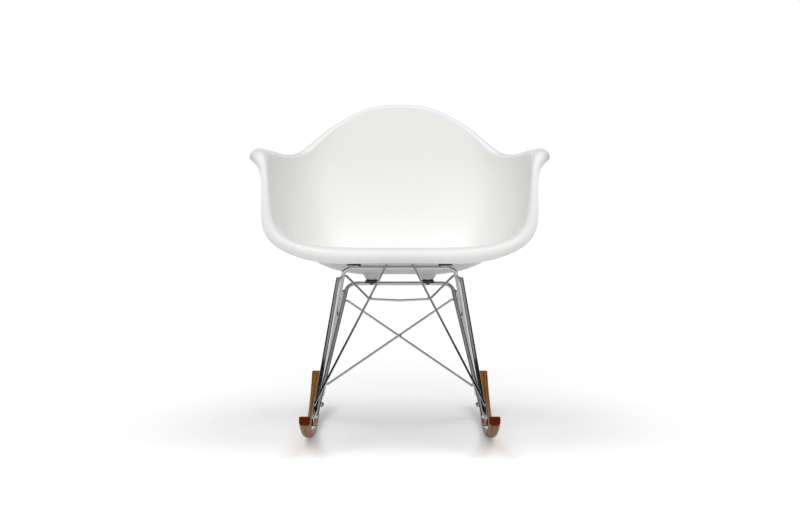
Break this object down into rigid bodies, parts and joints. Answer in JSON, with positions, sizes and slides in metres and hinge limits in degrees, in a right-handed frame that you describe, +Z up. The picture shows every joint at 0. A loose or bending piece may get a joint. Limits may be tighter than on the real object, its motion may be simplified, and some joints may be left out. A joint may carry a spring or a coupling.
{
  "type": "rocking chair",
  "caption": "Moulded plastic armchair shell on a welded chromed wire base with two curved wooden rocker runners.",
  "frame": {"origin": "on the floor, under the point where the level chair rests on its runners, midway between them", "axes": "+Z up; the front of the seat faces -Y; +X is on the right seen from the front"},
  "size_m": [0.6346, 0.6878, 0.7125],
  "materials": {
    "shell_plastic": "satin moulded white polypropylene",
    "chromed_rod": "bright chrome plate on drawn steel rod",
    "varnished_wood": "clear satin varnish on amber hardwood",
    "black_rubber": "matte moulded rubber",
    "dark_steel": "black oxide",
    "zinc_steel": "bright zinc plate",
    "brass": "turned"
  },
  "bodies": {
    "root": {"cradle_rod": "chromed_rod", "front_hoop": "chromed_rod", "front_left_mount_plate": "dark_steel", "front_left_rubber_pad": "black_rubber", "front_right_mount_plate": "dark_steel", "front_right_rubber_pad": "black_rubber", "left_cross_rod": "chromed_rod", "left_front_strut": "chromed_rod", "left_rear_strut": "chromed_rod", "left_runner": "varnished_wood", "left_v_rod": "chromed_rod", "mount_bolts": "dark_steel", "mount_washers": "dark_steel", "rear_hoop": "chromed_rod", "rear_left_mount_plate": "dark_steel", "rear_left_rubber_pad": "black_rubber", "rear_right_mount_plate": "dark_steel", "rear_right_rubber_pad": "black_rubber", "right_cross_rod": "chromed_rod", "right_front_strut": "chromed_rod", "right_rear_strut": "chromed_rod", "right_runner": "varnished_wood", "right_v_rod": "chromed_rod", "runner_bolts": "zinc_steel", "runner_washers": "zinc_steel", "seat_shell": "shell_plastic", "sleeve_nuts": "zinc_steel", "threaded_inserts": "brass"}
  },
  "joints": []
}
